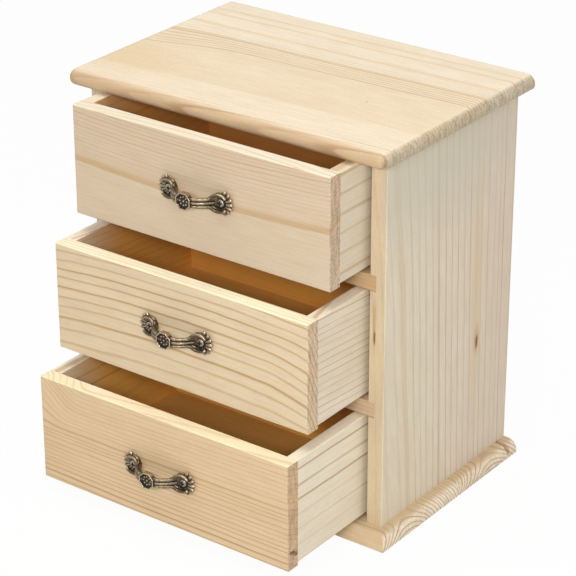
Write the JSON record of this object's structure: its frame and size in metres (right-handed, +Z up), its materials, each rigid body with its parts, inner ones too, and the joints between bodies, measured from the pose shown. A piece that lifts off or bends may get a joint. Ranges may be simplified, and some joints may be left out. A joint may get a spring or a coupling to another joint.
{
  "type": "desktop drawer chest",
  "caption": "Small pine chest for a tabletop, with overhanging top and base boards and stacked sliding drawers opened by cast bow pulls.",
  "frame": {"origin": "middle of the base board's underside, where the chest stands", "axes": "+X to the right as seen from the front, +Y to the rear, +Z up; the drawers open along -Y"},
  "size_m": [0.2176, 0.214, 0.2347],
  "materials": {
    "pine": "pale bare pine, sanded, with fine growth lines",
    "plywood": "thin bare plywood",
    "dowel_wood": "plain turned hardwood",
    "antique_bronze": "cast, dark patina with rubbed edges",
    "bronzed_steel": "bronzed screw heads",
    "zinc_steel": "zinc plated"
  },
  "bodies": {
    "case": {"base_board": "pine", "top_board": "pine", "left_side_panel": "pine", "right_side_panel": "pine", "back_panel": "plywood", "lower_shelf": "pine", "upper_shelf": "pine", "top_dowels": "dowel_wood", "base_screws": "zinc_steel"},
    "top_drawer": {"top_drawer_front": "pine", "top_drawer_back": "pine", "top_drawer_left_side": "pine", "top_drawer_right_side": "pine", "top_drawer_floor": "plywood", "top_drawer_dowels": "dowel_wood", "top_drawer_pull": "antique_bronze", "top_drawer_pull_screws": "bronzed_steel"},
    "middle_drawer": {"middle_drawer_front": "pine", "middle_drawer_back": "pine", "middle_drawer_left_side": "pine", "middle_drawer_right_side": "pine", "middle_drawer_floor": "plywood", "middle_drawer_dowels": "dowel_wood", "middle_drawer_pull": "antique_bronze", "middle_drawer_pull_screws": "bronzed_steel"},
    "bottom_drawer": {"bottom_drawer_front": "pine", "bottom_drawer_back": "pine", "bottom_drawer_left_side": "pine", "bottom_drawer_right_side": "pine", "bottom_drawer_floor": "plywood", "bottom_drawer_dowels": "dowel_wood", "bottom_drawer_pull": "antique_bronze", "bottom_drawer_pull_screws": "bronzed_steel"}
  },
  "joints": [
    {"name": "top_drawer_slide", "type": "slide", "parent": "case", "child": "top_drawer", "axis": [0, -1, 0], "range_m": [-0.0314, 0.0636]},
    {"name": "middle_drawer_slide", "type": "slide", "parent": "case", "child": "middle_drawer", "axis": [0, -1, 0], "range_m": [-0.0505, 0.0445]},
    {"name": "bottom_drawer_slide", "type": "slide", "parent": "case", "child": "bottom_drawer", "axis": [0, -1, 0], "range_m": [-0.068, 0.027]}
  ]
}
